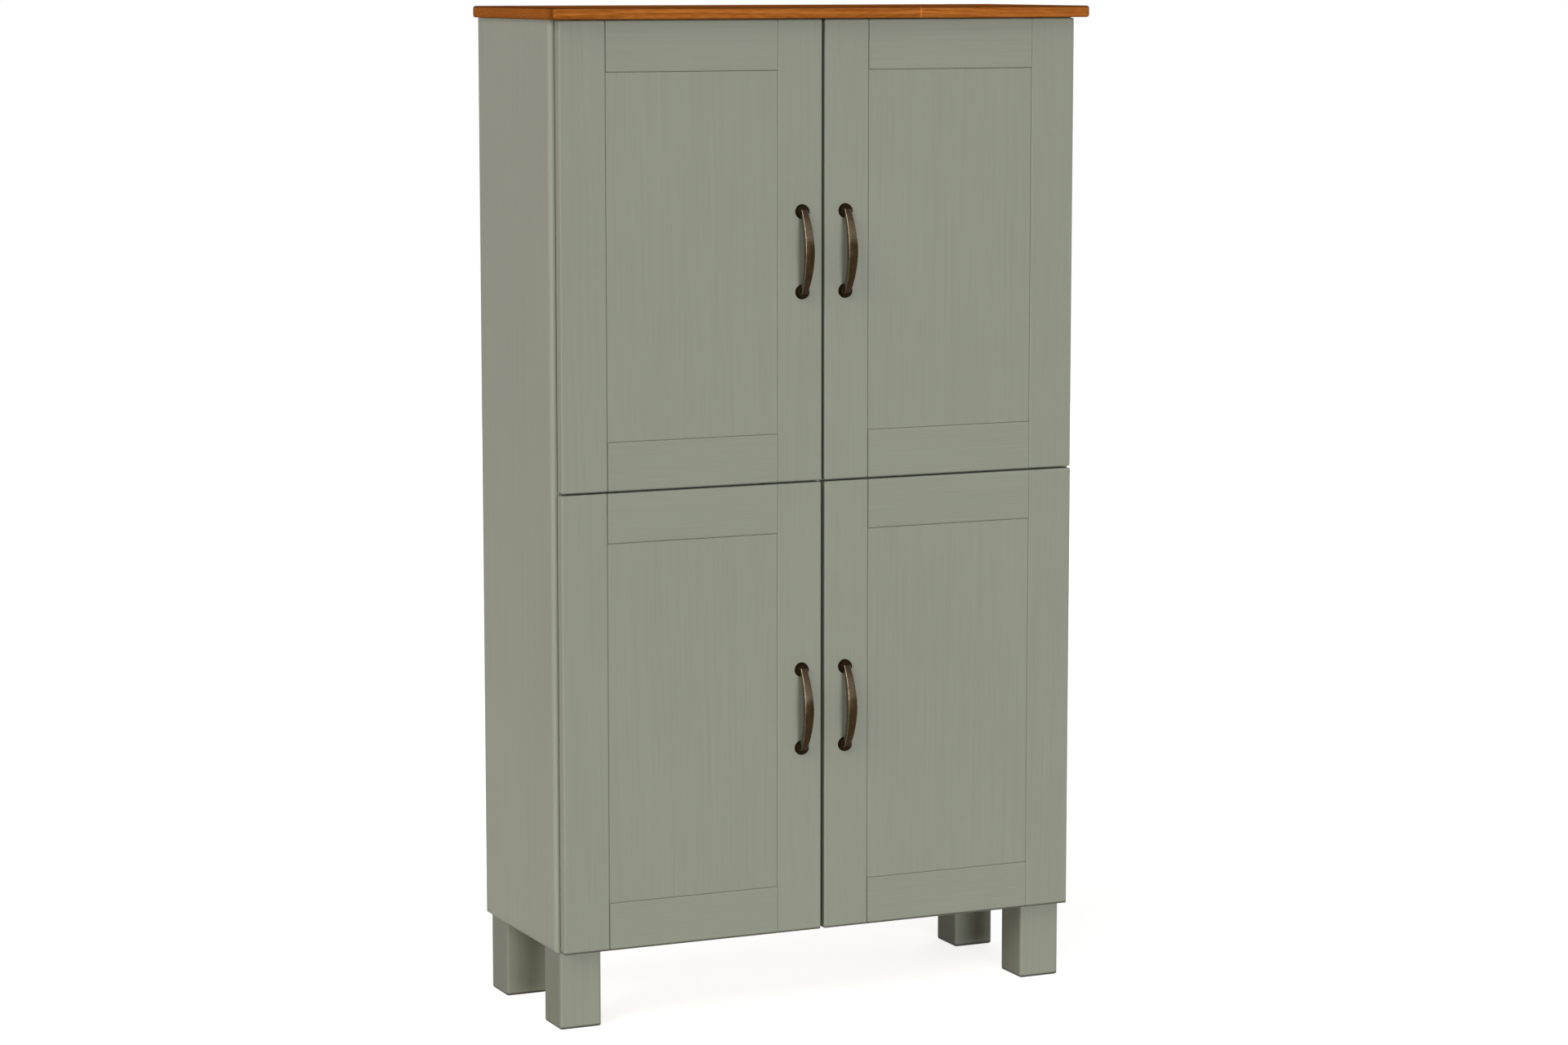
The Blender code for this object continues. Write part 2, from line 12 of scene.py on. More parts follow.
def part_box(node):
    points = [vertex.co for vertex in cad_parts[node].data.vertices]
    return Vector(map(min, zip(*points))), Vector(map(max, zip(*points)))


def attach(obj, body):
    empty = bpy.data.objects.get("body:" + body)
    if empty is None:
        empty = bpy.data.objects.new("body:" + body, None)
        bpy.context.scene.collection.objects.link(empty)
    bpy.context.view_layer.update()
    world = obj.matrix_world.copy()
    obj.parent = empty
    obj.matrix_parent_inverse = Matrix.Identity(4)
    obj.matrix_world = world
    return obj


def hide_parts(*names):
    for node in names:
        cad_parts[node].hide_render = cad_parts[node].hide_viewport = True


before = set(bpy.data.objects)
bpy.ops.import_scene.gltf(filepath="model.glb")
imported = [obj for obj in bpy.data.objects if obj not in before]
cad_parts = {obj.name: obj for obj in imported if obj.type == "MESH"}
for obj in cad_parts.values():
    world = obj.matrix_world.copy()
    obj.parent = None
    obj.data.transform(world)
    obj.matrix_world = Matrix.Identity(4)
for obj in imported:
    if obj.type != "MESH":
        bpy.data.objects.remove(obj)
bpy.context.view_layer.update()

DOORS = ("upper_left", "upper_right", "lower_left", "lower_right")
WHITE = (1.0, 1.0, 1.0)


# Node helpers
class Tree:
    """An emptied node tree, with short calls for the nodes used here."""

    def __init__(self, owner):
        owner.use_nodes = True
        self.tree = owner.node_tree
        self.tree.nodes.clear()

    def feed(self, socket, value):
        """Links the socket from another socket, or sets its value."""
        if isinstance(value, bpy.types.NodeSocket):
            self.tree.links.new(value, socket)
        else:
            socket.default_value = value

    def add(self, kind, inputs=None, **settings):
        """A new node, with its settings and what feeds its inputs."""
        node = self.tree.nodes.new("ShaderNode" + kind)
        for key, value in settings.items():
            setattr(node, key, value)
        for key, value in (inputs or {}).items():
            self.feed(node.inputs[key], value)
        return node

    def math(self, operation, first, second=0.0):
        return self.add("Math", {0: first, 1: second}, operation=operation).outputs[0]


class Graph(Tree):
    """A material with one Principled shader."""

    def __init__(self, name):
        self.material = bpy.data.materials.new(name)
        super().__init__(self.material)
        self.shader = self.add("BsdfPrincipled")
        self.add("OutputMaterial", {"Surface": self.shader.outputs["BSDF"]})

    def set(self, **values):
        """Feeds the shader's inputs, named with underscores for spaces."""
        for key, value in values.items():
            self.feed(self.shader.inputs[key.replace("_", " ")], value)

    def plus(self, value, extra, share):
        """The value with a share of another added."""
        return self.math("ADD", value, self.math("MULTIPLY", extra, share))

    def weighted(self, values, shares):
        """The sum of values, each times its share."""
        total = self.math("MULTIPLY", values[0], shares[0])
        for value, share in zip(values[1:], shares[1:]):
            total = self.plus(total, value, share)
        return total

    def vector(self, operation, first, second):
        return self.add("VectorMath", {0: first, 1: second}, operation=operation).outputs[0]

    def length(self, vector):
        return self.add("VectorMath", {0: vector}, operation="LENGTH").outputs["Value"]

    def split(self, vector):
        return self.add("SeparateXYZ", {0: vector}).outputs

    def join(self, x, y, z):
        return self.add("CombineXYZ", {0: x, 1: y, 2: z}).outputs[0]

    def noise(self, place, scale, detail=2.0, roughness=0.5):
        """Noise with its own scale along each axis."""
        stretched = self.vector("MULTIPLY", place, scale)
        inputs = {"Vector": stretched, "Scale": 1.0, "Detail": detail, "Roughness": roughness, "Distortion": 0.0}
        return self.add("TexNoise", inputs).outputs[0]

    def ramp(self, value, low, high, start=0.0, end=1.0):
        """A smooth step from start to end as the value goes from low to high."""
        node = self.add(
            "MapRange",
            {"Value": value, "From Min": low, "From Max": high, "To Min": start, "To Max": end},
            interpolation_type="SMOOTHSTEP",
        )
        return node.outputs[0]

    def blend(self, factor, first, second):
        return self.add("Mix", {0: factor, 6: first, 7: second}, data_type="RGBA").outputs[2]

    def bump(self, height, strength, distance):
        node = self.add("Bump", {"Height": height, "Strength": strength, "Distance": distance})
        self.set(Normal=node.outputs[0])


def colour(red, green, blue):
    return (red, green, blue, 1.0)


def shaded(base, factor):
    """A colour made darker or paler."""
    return colour(*(channel * factor for channel in base))


GRAIN_ORDER = {"X": (1, 2, 0), "Y": (0, 2, 1), "Z": (0, 1, 2)}

# Stretches of a noise's value that a ramp spreads out
NOISE_MOST = (0.2, 0.8)
NOISE_MIDDLE = (0.25, 0.75)
NOISE_CORE = (0.3, 0.7)


def along_grain(graph, source, axis):
    """Coordinates turned to run across the board, through it and along its grain."""
    parts = graph.split(source)
    return [parts[index] for index in GRAIN_ORDER[axis]]


# Painted pine
PAINT = (0.278, 0.297, 0.245)
PAINT_DARKER, PAINT_PALER = 0.945, 1.045
PAINT_TONES = (0.30, 0.72)
PAINT_TONE_SHARES = (0.42, 0.30, 0.28, 0.03)
PAINT_HEIGHT_SHARES = (0.65, 0.35)
PAINT_BOARD_SHIFT = 9.0
PAINT_SWAY_SCALE, PAINT_SWAY = (5.0, 5.0, 1.1), 0.03
PAINT_GROWTH_SCALE = (210.0, 210.0, 3.2)
PAINT_FIBRE_SCALE = (760.0, 760.0, 14.0)
PAINT_MOTTLE_SCALE = (7.0, 7.0, 5.0)
PAINT_ROUGHNESS = (0.38, 0.52)
PAINT_SPECULAR = 0.07
PAINT_BUMP, PAINT_BUMP_DEPTH = 0.22, 0.0004
# Painted shade: a dark colour laid on the legs' feet and the lower doors' bottom arrises, where those down-facing
# edges fall in shade.
LOW_SHADE = (0.045, 0.040, 0.032)
FOOT_SHADE_HEIGHT, FOOT_SHADE_COVER = 0.0044, 0.80
DOOR_ARRIS_SHADE_HEIGHT, DOOR_ARRIS_SHADE_COVER = 0.0034, 0.72


def painted_low_shade(graph, place):
    """Painted shade: how far the paint is darkened round the feet of the legs and along the bottom arrises of the
    lower doors, down-facing edges that fall in shade.
    """
    _, y, z = graph.split(place)
    low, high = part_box("lower_left_bottom_rail")
    feet = graph.ramp(z, FOOT_SHADE_HEIGHT, FOOT_SHADE_HEIGHT / 2)
    arris = graph.ramp(z, low.z + DOOR_ARRIS_SHADE_HEIGHT, low.z + DOOR_ARRIS_SHADE_HEIGHT / 2)
    arris = graph.math("MULTIPLY", arris, graph.math("GREATER_THAN", z, low.z - DOOR_ARRIS_SHADE_HEIGHT / 2))
    arris = graph.math("MULTIPLY", arris, graph.math("LESS_THAN", y, high.y))
    feet, arris = graph.math("MULTIPLY", feet, FOOT_SHADE_COVER), graph.math("MULTIPLY", arris, DOOR_ARRIS_SHADE_COVER)
    return graph.math("MAXIMUM", feet, arris)


def painted_pine(axis):
    """Satin paint over pine: the figure shows faintly through it, with fine brush lines along the grain."""
    graph = Graph(f"painted_pine_{axis.lower()}")
    place = graph.add("TexCoord").outputs["Object"]
    own = graph.add("ObjectInfo").outputs["Random"]
    across, through, along = along_grain(graph, place, axis)
    shift = graph.math("MULTIPLY", own, PAINT_BOARD_SHIFT)
    start = graph.join(graph.math("ADD", across, shift), through, graph.math("ADD", along, shift))
    sway = graph.math("MULTIPLY", graph.noise(start, PAINT_SWAY_SCALE), PAINT_SWAY)
    swayed = graph.vector("ADD", start, graph.join(sway, 0.0, 0.0))
    growth = graph.noise(swayed, PAINT_GROWTH_SCALE, detail=4.0, roughness=0.6)
    fibre = graph.noise(swayed, PAINT_FIBRE_SCALE)
    mottle = graph.noise(start, PAINT_MOTTLE_SCALE, detail=3.0)
    tone = graph.weighted((growth, fibre, mottle, own), PAINT_TONE_SHARES)
    coat = graph.blend(graph.ramp(tone, *PAINT_TONES), shaded(PAINT, PAINT_DARKER), shaded(PAINT, PAINT_PALER))
    # The paint is darkened here with painted shade along the legs' feet and the lower doors' bottom arrises.
    graph.set(Base_Color=graph.blend(painted_low_shade(graph, place), coat, colour(*LOW_SHADE)))
    graph.set(Roughness=graph.ramp(fibre, *NOISE_MIDDLE, *PAINT_ROUGHNESS), Specular_IOR_Level=PAINT_SPECULAR)
    graph.bump(graph.weighted((growth, fibre), PAINT_HEIGHT_SHARES), PAINT_BUMP, PAINT_BUMP_DEPTH)
    return graph.material


# Bare and stained pine
STAIN_EARLY = (0.500, 0.164, 0.031)
STAIN_LATE = (0.248, 0.075, 0.012)
STAIN_KNOT = (0.130, 0.040, 0.010)
STAIN_GATHERED = (0.075, 0.022, 0.006)
PINE_EARLY = (0.62, 0.405, 0.205)
PINE_LATE = (0.43, 0.225, 0.085)
PINE_KNOT = (0.15, 0.062, 0.024)
STAVE_LENGTH = 0.50
STAVE_JOINT = 0.1205
STAVE_STAGGER = 0.137
STAVE_FIRST_ROW = 2.0
BOARD_SEED = 31.0
STRIP_SHIFT = 7.0
STRIP_SHARE = 0.14
KNOT_CELLS, KNOT_SCATTER = 6.5, 0.9
KNOT_REACH, KNOT_PULL = 0.20, 0.014
KNOT_RIM, KNOT_COVER = (0.056, 0.038), 0.85
NO_KNOTS = 2.0
PITH_ACROSS = (0.2, 0.8)
PITH_DEPTH = (0.012, 0.045)
WANDER_SCALE, WANDER_ACROSS, WANDER_DEEP = (1.5, 3.3, 1.0), 0.022, 0.020
RIPPLE_SCALE, RIPPLE = (55.0, 55.0, 6.0), 0.0022
RING_SPACING = 0.0042
LATEWOOD_RISE, LATEWOOD_FALL, LATEWOOD_MEAN = (0.25, 0.90), (1.0, 0.94), 0.45
FIBRE_SCALE = (620.0, 620.0, 64.0)
STREAK_SCALE = (330.0, 330.0, 5.0)
TONE_REACH = 0.36
GLOSS_SPREAD = 0.16
PINE_HEIGHT_SHARES = (0.4, 0.6)
PINE_BUMP, PINE_BUMP_DEPTH = 0.25, 0.0003
GLUE_LINE, GLUE_COVER, GLUE_PALER = (0.0013, 0.0004), 0.60, 1.5
RIM_FROM, RIM_TO = 0.0045, 0.0025
GATHERED_FROM, GATHERED_TO, GATHERED_COVER = 0.0032, 0.0012, 0.75
END_GRAIN_FROM, END_GRAIN_TO, END_GRAIN_COVER = 0.0016, 0.0006, 0.12


def pine(name, axis, strip, thickness, tones, gloss, shine, knots, rings, streaks, fibres, stave=0.0, front=None):
    """Solid pine, edge-glued from strips, each sawn from rings round its own pith, with a knot here and there.

    The strips of a stained board are finger-jointed from staves, and a bare board's front edge is painted.
    """
    early, late, knot = tones
    graph = Graph(name)
    coordinates = graph.add("TexCoord").outputs
    own = graph.add("ObjectInfo").outputs["Random"]
    across, _, along = along_grain(graph, coordinates["Object"], axis)
    _, level, _ = along_grain(graph, coordinates["Generated"], axis)
    through = graph.math("MULTIPLY", graph.math("SUBTRACT", level, 0.5), thickness)
    row = graph.math("FLOOR", graph.math("DIVIDE", across, strip))
    length = 0.0
    if stave:
        start = graph.math("MULTIPLY", graph.math("ADD", row, STAVE_FIRST_ROW), STAVE_STAGGER)
        start = graph.math("ADD", start, STAVE_JOINT)
        steps = graph.math("DIVIDE", graph.math("SUBTRACT", along, start), stave)
        length = graph.math("FLOOR", steps)
    seed = graph.join(row, graph.math("MULTIPLY", own, BOARD_SEED), length)
    chance = graph.add("TexWhiteNoise", {"Vector": seed}, noise_dimensions="3D")
    pick = graph.split(chance.outputs["Color"])
    shifted = graph.plus(along, pick[2], STRIP_SHIFT)
    grain = graph.join(across, through, shifted)

    # Knots pull the rings round themselves
    spread = graph.join(graph.math("ADD", across, own), shifted, 0.0)
    cells = graph.add(
        "TexVoronoi",
        {"Vector": spread, "Scale": KNOT_CELLS, "Randomness": KNOT_SCATTER},
        voronoi_dimensions="2D",
    )
    apart = cells.outputs["Distance"]
    present = graph.math("GREATER_THAN", graph.split(cells.outputs["Color"])[0], knots)
    pull = graph.math("MULTIPLY", graph.ramp(apart, KNOT_REACH, 0.0), present)
    core = graph.math("MULTIPLY", graph.ramp(apart, *KNOT_RIM), present)

    # Growth rings round the pith
    wander = graph.noise(graph.join(shifted, row, 0.0), WANDER_SCALE)
    ripple = graph.noise(grain, RIPPLE_SCALE)
    pith = graph.math("MULTIPLY", graph.math("ADD", row, graph.ramp(pick[0], 0.0, 1.0, *PITH_ACROSS)), strip)
    side = graph.plus(graph.math("SUBTRACT", across, pith), wander, WANDER_ACROSS)
    depth = graph.math("ADD", through, graph.ramp(pick[1], 0.0, 1.0, *PITH_DEPTH))
    depth = graph.plus(depth, wander, WANDER_DEEP)
    radius = graph.plus(graph.length(graph.join(side, depth, 0.0)), ripple, RIPPLE)
    radius = graph.plus(radius, pull, KNOT_PULL)
    ring = graph.math("FRACT", graph.math("DIVIDE", radius, RING_SPACING))
    latewood = graph.math("MULTIPLY", graph.ramp(ring, *LATEWOOD_RISE), graph.ramp(ring, *LATEWOOD_FALL))

    fibre = graph.noise(grain, FIBRE_SCALE)
    streak = graph.noise(grain, STREAK_SCALE, detail=4.0, roughness=0.62)
    tone = graph.weighted((latewood, fibre, streak, pick[2]), (rings, fibres, streaks, STRIP_SHARE))
    middle = rings * LATEWOOD_MEAN + (streaks + fibres + STRIP_SHARE) * 0.5
    wood = graph.blend(graph.ramp(tone, middle - TONE_REACH, middle + TONE_REACH), colour(*early), colour(*late))
    wood = graph.blend(graph.math("MULTIPLY", core, KNOT_COVER), wood, colour(*knot))
    if stave:
        wood = lined(graph, coordinates["Object"], steps, stave, wood, early)
    if front is not None:
        painted = graph.math("LESS_THAN", graph.split(coordinates["Object"])[1], front)
        wood = graph.blend(painted, wood, colour(*PAINT))
    rough = graph.ramp(fibre, *NOISE_MOST, gloss, gloss + GLOSS_SPREAD)
    graph.set(Base_Color=wood, Roughness=rough, Specular_IOR_Level=shine)
    graph.bump(graph.weighted((latewood, fibre), PINE_HEIGHT_SHARES), PINE_BUMP, PINE_BUMP_DEPTH)
    return graph.material


def lined(graph, place, steps, stave, wood, pale):
    """The pale glue line where two staves meet, and stain gathered on the top board's arrises and end grain."""
    low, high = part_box("top_board")
    part = graph.math("FRACT", steps)
    gap = graph.math("MULTIPLY", graph.math("MINIMUM", part, graph.math("SUBTRACT", 1.0, part)), stave)
    glue = graph.math("MULTIPLY", graph.ramp(gap, *GLUE_LINE), GLUE_COVER)
    wood = graph.blend(glue, wood, shaded(pale, GLUE_PALER))
    x, y, z = graph.split(place)
    reach = graph.math("ABSOLUTE", x)
    rim = graph.math(
        "MAXIMUM",
        graph.ramp(y, low.y + RIM_FROM, low.y + RIM_TO),
        graph.ramp(reach, high.x - RIM_FROM, high.x - RIM_TO),
    )
    arris = graph.ramp(z, high.z - GATHERED_FROM, high.z - GATHERED_TO)
    gathered = graph.math("MULTIPLY", graph.math("MULTIPLY", rim, arris), GATHERED_COVER)
    end = graph.ramp(reach, high.x - END_GRAIN_FROM, high.x - END_GRAIN_TO)
    end = graph.math("MULTIPLY", end, END_GRAIN_COVER)
    return graph.blend(graph.math("MAXIMUM", gathered, end), wood, colour(*STAIN_GATHERED))


# Metals
PATINA_DARK = (0.0245, 0.0148, 0.0070)
PATINA_LIGHT = (0.0385, 0.0243, 0.0120)
PATINA_GRIME = (0.0085, 0.0048, 0.0022)
BRONZE_DULL = (0.34, 0.27, 0.19)
BRONZE_BRIGHT = (0.50, 0.42, 0.32)
BRONZE_CLOUD_SCALE = (140.0, 140.0, 60.0)
BRONZE_SPECK_SCALE = (900.0, 900.0, 420.0)
BRONZE_ROUGHNESS = (0.27, 0.38)
BRONZE_BUMP, BRONZE_BUMP_DEPTH = 0.15, 0.0002
RUBBED_SPECKS, RUBBED_LEAST = (0.25, 0.62), 0.55
GRIME_COVER, GRIME_ROUGHNESS = 0.75, 0.30
NICKEL_DULL = (0.50, 0.49, 0.46)
NICKEL_BRIGHT = (0.62, 0.60, 0.57)
NICKEL_LINE_SCALE = (300.0, 300.0, 2600.0)
NICKEL_CLOUD_SCALE = (60.0, 60.0, 60.0)
NICKEL_ROUGHNESS = (0.24, 0.40)
NICKEL_BUMP, NICKEL_BUMP_DEPTH = 0.12, 0.0001


def antique_bronze():
    """Dark patina over bronze: bare metal where a hand rubs it, dark grime where it gathers, and a painted
    reflection on the strap's upper part.
    """
    graph = Graph("antique_bronze")
    place = graph.add("TexCoord").outputs["Object"]
    wear_and_sheen = graph.add("Attribute", attribute_name="wear_and_sheen").outputs["Fac"]
    clean = graph.add("Attribute", attribute_name="clean").outputs["Fac"]
    grime = graph.math("SUBTRACT", 1.0, clean)
    cloud = graph.noise(place, BRONZE_CLOUD_SCALE, detail=4.0, roughness=0.6)
    speck = graph.noise(place, BRONZE_SPECK_SCALE, detail=3.0, roughness=0.6)
    patina = graph.blend(graph.ramp(cloud, *NOISE_CORE), colour(*PATINA_DARK), colour(*PATINA_LIGHT))
    patina = graph.blend(graph.math("MULTIPLY", grime, GRIME_COVER), patina, colour(*PATINA_GRIME))
    bare = graph.blend(graph.ramp(speck, *NOISE_CORE), colour(*BRONZE_DULL), colour(*BRONZE_BRIGHT))
    # The bare-metal share is wear and painted reflection together: the strap's upper part is paler as if it
    # mirrored a lamp above.
    worn_and_sheen = graph.math("MULTIPLY", wear_and_sheen, graph.ramp(speck, *RUBBED_SPECKS, RUBBED_LEAST, 1.0))
    graph.set(Base_Color=graph.blend(worn_and_sheen, patina, bare), Metallic=1.0)
    rough = graph.ramp(cloud, *NOISE_MIDDLE, *BRONZE_ROUGHNESS)
    graph.set(Roughness=graph.plus(rough, grime, GRIME_ROUGHNESS))
    graph.bump(speck, BRONZE_BUMP, BRONZE_BUMP_DEPTH)
    return graph.material


def nickel_steel():
    """Nickel-plated pressings with fine drawing lines."""
    graph = Graph("nickel_steel")
    place = graph.add("TexCoord").outputs["Object"]
    lines = graph.noise(place, NICKEL_LINE_SCALE)
    cloud = graph.noise(place, NICKEL_CLOUD_SCALE, detail=3.0)
    graph.set(
        Base_Color=graph.blend(graph.ramp(cloud, *NOISE_CORE), colour(*NICKEL_DULL), colour(*NICKEL_BRIGHT)),
        Metallic=1.0,
        Roughness=graph.ramp(lines, *NOISE_MIDDLE, *NICKEL_ROUGHNESS),
    )
    graph.bump(lines, NICKEL_BUMP, NICKEL_BUMP_DEPTH)
    return graph.material


# Hardboard
BOARD_DARK = (0.17, 0.092, 0.045)
BOARD_PALE = (0.30, 0.18, 0.096)
BOARD_TONES, BOARD_TONE_SHARES = (0.32, 0.68), (0.35, 0.40, 0.25)
BOARD_FELT_SCALE = (1400.0, 1400.0, 1400.0)
BOARD_FLAKE_SCALE = (260.0, 260.0, 420.0)
BOARD_CLOUD_SCALE = (7.0, 7.0, 7.0)
BOARD_ROUGHNESS, BOARD_SPECULAR = (0.55, 0.75), 0.3
BOARD_BUMP, BOARD_BUMP_DEPTH = 0.3, 0.0002
NAIL = (0.30, 0.29, 0.27)
NAIL_RADIUS, NAIL_EDGE = 0.0022, 0.0002
NAIL_INSET = 0.0055
NAIL_PITCH_UP = 0.115
NAIL_PITCH_ACROSS = 0.128


def nail_distance(graph, reach, along, pitch):
    """Distance from the nearest of a row of nails; reach is the distance from the row's line."""
    part = graph.math("SUBTRACT", graph.math("FRACT", graph.math("DIVIDE", along, pitch)), 0.5)
    return graph.length(graph.join(reach, graph.math("MULTIPLY", part, pitch), 0.0))


def nail_heads(graph, place):
    """1 on the flat nail heads round the edges of each sheet, which lie level with it."""
    x, _, z = graph.split(place)
    low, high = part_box("lower_back_panel")
    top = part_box("upper_back_panel")[1].z
    beside = graph.math("ABSOLUTE", graph.math("SUBTRACT", graph.math("ABSOLUTE", x), high.x - NAIL_INSET))
    upright = nail_distance(graph, beside, z, NAIL_PITCH_UP)
    nearest = None
    for line in (low.z + NAIL_INSET, high.z - NAIL_INSET, high.z + NAIL_INSET, top - NAIL_INSET):
        off = graph.math("ABSOLUTE", graph.math("SUBTRACT", z, line))
        nearest = off if nearest is None else graph.math("MINIMUM", nearest, off)
    level = nail_distance(graph, nearest, x, NAIL_PITCH_ACROSS)
    return graph.ramp(graph.math("MINIMUM", upright, level), NAIL_RADIUS + NAIL_EDGE, NAIL_RADIUS)


def hardboard():
    """Pressed wood fibre, mottled brown with a fine felted texture."""
    graph = Graph("hardboard")
    place = graph.add("TexCoord").outputs["Object"]
    felt = graph.noise(place, BOARD_FELT_SCALE, detail=3.0, roughness=0.7)
    flakes = graph.noise(place, BOARD_FLAKE_SCALE, detail=3.0, roughness=0.6)
    cloud = graph.noise(place, BOARD_CLOUD_SCALE, detail=3.0)
    tone = graph.weighted((felt, flakes, cloud), BOARD_TONE_SHARES)
    fibre = graph.blend(graph.ramp(tone, *BOARD_TONES), colour(*BOARD_DARK), colour(*BOARD_PALE))
    nail = nail_heads(graph, place)
    graph.set(Base_Color=graph.blend(nail, fibre, colour(*NAIL)), Metallic=nail)
    graph.set(Roughness=graph.ramp(felt, *NOISE_MOST, *BOARD_ROUGHNESS), Specular_IOR_Level=BOARD_SPECULAR)
    graph.bump(felt, BOARD_BUMP, BOARD_BUMP_DEPTH)
    return graph.material


# The part's materials
PAINTED_EDGE = 0.0006
PAINTED_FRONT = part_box("middle_panel")[0].y + PAINTED_EDGE
BARE_BOARD = {
    "strip": 0.070, "thickness": 0.016, "tones": (PINE_EARLY, PINE_LATE, PINE_KNOT), "gloss": 0.48, "shine": 0.15,
    "rings": 0.62, "streaks": 0.28, "fibres": 0.25,
}
PAINTED = {axis: painted_pine(axis) for axis in "XZ"}
STAINED = pine(
    "stained_pine", "X", strip=0.090, thickness=0.014, tones=(STAIN_EARLY, STAIN_LATE, STAIN_KNOT), gloss=0.42,
    shine=0.0, knots=0.80, rings=0.18, streaks=0.60, fibres=0.75, stave=STAVE_LENGTH,
)
BARE = {
    "X": pine("bare_pine_x", "X", knots=0.72, front=PAINTED_FRONT, **BARE_BOARD),
    "Y": pine("bare_pine_y", "Y", knots=NO_KNOTS, **BARE_BOARD),
}
BRONZE = antique_bronze()
STEEL = nickel_steel()
HARDBOARD = hardboard()
BY_SLOT = {"stained_pine": STAINED, "hardboard": HARDBOARD, "antique_bronze": BRONZE, "nickel_steel": STEEL}


def dress(name, node):
    """Gives a carried-over node its material, by its slot and the way its grain runs."""
    slot = node.data.materials[0].name.split(".")[0]
    low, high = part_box(name)
    size = high - low
    longest = "XYZ"[max(range(3), key=lambda index: size[index])]
    if slot == "painted_pine":
        look = PAINTED["X" if longest == "X" else "Z"]
    elif slot == "bare_pine":
        look = BARE["Y" if longest == "Y" else "X"]
    else:
        look = BY_SLOT[slot]
    for holder in node.material_slots:
        holder.material = look


for name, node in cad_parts.items():
    dress(name, node)


# Mesh helpers
SMOOTH_ANGLE = math.radians(38)


def piece(name, shape, look, body):
    """A new object from a finished bmesh, riding on a body."""
    bmesh.ops.recalc_face_normals(shape, faces=shape.faces)
    mesh = bpy.data.meshes.new(name)
    shape.to_mesh(mesh)
    shape.free()
    for face in mesh.polygons:
        face.use_smooth = True
    mesh.set_sharp_from_angle(angle=SMOOTH_ANGLE)
    mesh.materials.append(look)
    made = bpy.data.objects.new(name, mesh)
    bpy.context.scene.collection.objects.link(made)
    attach(made, body)
    return made


def bridge(shape, ring, after):
    """Faces between two rings with the same number of points."""
    for step in range(len(ring)):
        beside = (step + 1) % len(ring)
        shape.faces.new((ring[step], ring[beside], after[beside], after[step]))


def facing(direction):
    """The turn from straight up to a direction."""
    return Vector((0, 0, 1)).rotation_difference(Vector(direction)).to_matrix().to_4x4()


def circle(radius, height, sides):
    """Points round the Z axis."""
    angles = (2 * math.pi * step / sides for step in range(sides))
    return [Vector((radius * math.cos(angle), radius * math.sin(angle), height)) for angle in angles]


def turned(shape, profile, sides, place, direction):
    """Adds a closed turned solid; the profile is (radius, height) pairs from one end of its axis to the other."""
    spot = Matrix.Translation(place) @ facing(direction)
    rings = []
    for radius, height in profile:
        points = [Vector((0, 0, height))] if radius == 0 else circle(radius, height, sides)
        rings.append([shape.verts.new(spot @ point) for point in points])
    for ring, after in zip(rings, rings[1:]):
        if len(ring) == len(after):
            bridge(shape, ring, after)
            continue
        for step in range(sides):
            beside = (step + 1) % sides
            if len(ring) == 1:
                shape.faces.new((ring[0], after[beside], after[step]))
            else:
                shape.faces.new((ring[step], ring[beside], after[0]))


# Bow handles
HANDLE_CENTRES = 0.096
HANDLE_MID_WIDTH = 0.0120
HANDLE_END_WIDTH = 0.0080
HANDLE_MID_THICKNESS = 0.0075
HANDLE_END_THICKNESS = 0.0056
HANDLE_TAPER = 1.3
HANDLE_EASE = 0.0007
STRAP_REACH = 1.017
STATIONS = 64
CORNER_STEPS = 4
FOOT_HEIGHT = 0.0060
FOOT_RADIUS = 0.0088
SPIGOT_RADIUS = 0.0025
SPIGOT_DEPTH = 0.0097
FOOT_PROFILE = (
    (0, FOOT_HEIGHT), (0.0064, FOOT_HEIGHT), (0.0072, 0.0057), (0.0078, 0.0050), (0.0080, 0.0042),
    (0.0080, 0.0024), (0.0083, 0.0019), (0.0087, 0.0016), (FOOT_RADIUS, 0.0010), (FOOT_RADIUS, 0),
    (SPIGOT_RADIUS, 0), (SPIGOT_RADIUS, -SPIGOT_DEPTH), (0, -SPIGOT_DEPTH),
)
FOOT_SIDES = 40
WELD = 0.00003
# Patina rubbed through on the strap's arrises and flanks, and painted reflection: a sheen on the front's upper
# part and a paler upper arris.
RUB_FRONT, PAINTED_FRONT_SHEEN = 0.005, 0.15
SHEEN_RISE, SHEEN_FALL, SHEEN_LOSS = (0.14, 0.34), (0.5, 0.95), 0.7
RUB_BACK, RUB_FLANK = 0.40, 0.30
RUB_ARRIS, ARRIS_UPPER_SHEEN, UPPER_RISE = 0.32, 0.58, (0.0, 0.45)
END_GRIME, END_GRIME_RISE = 0.3, (0.88, 1.0)


def strap_outline(wide, deep):
    """Rounded-rectangle section of the strap, as (sideways, outward, corner, step) from its right front corner."""
    half, thick, ease = wide / 2, deep / 2, HANDLE_EASE
    outline = []
    for corner, (sx, sy) in enumerate(((1, 1), (-1, 1), (-1, -1), (1, -1))):
        for step in range(CORNER_STEPS + 1):
            angle = math.pi / 2 * (corner + step / CORNER_STEPS)
            sideways = sx * (half - ease) + ease * math.cos(angle)
            outline.append((sideways, sy * (thick - ease) + ease * math.sin(angle), corner, step))
    return outline


def smooth(value, low, high):
    """A smooth step from 0 to 1 as the value goes from low to high."""
    part = min(max((value - low) / (high - low), 0.0), 1.0)
    return part * part * (3 - 2 * part)


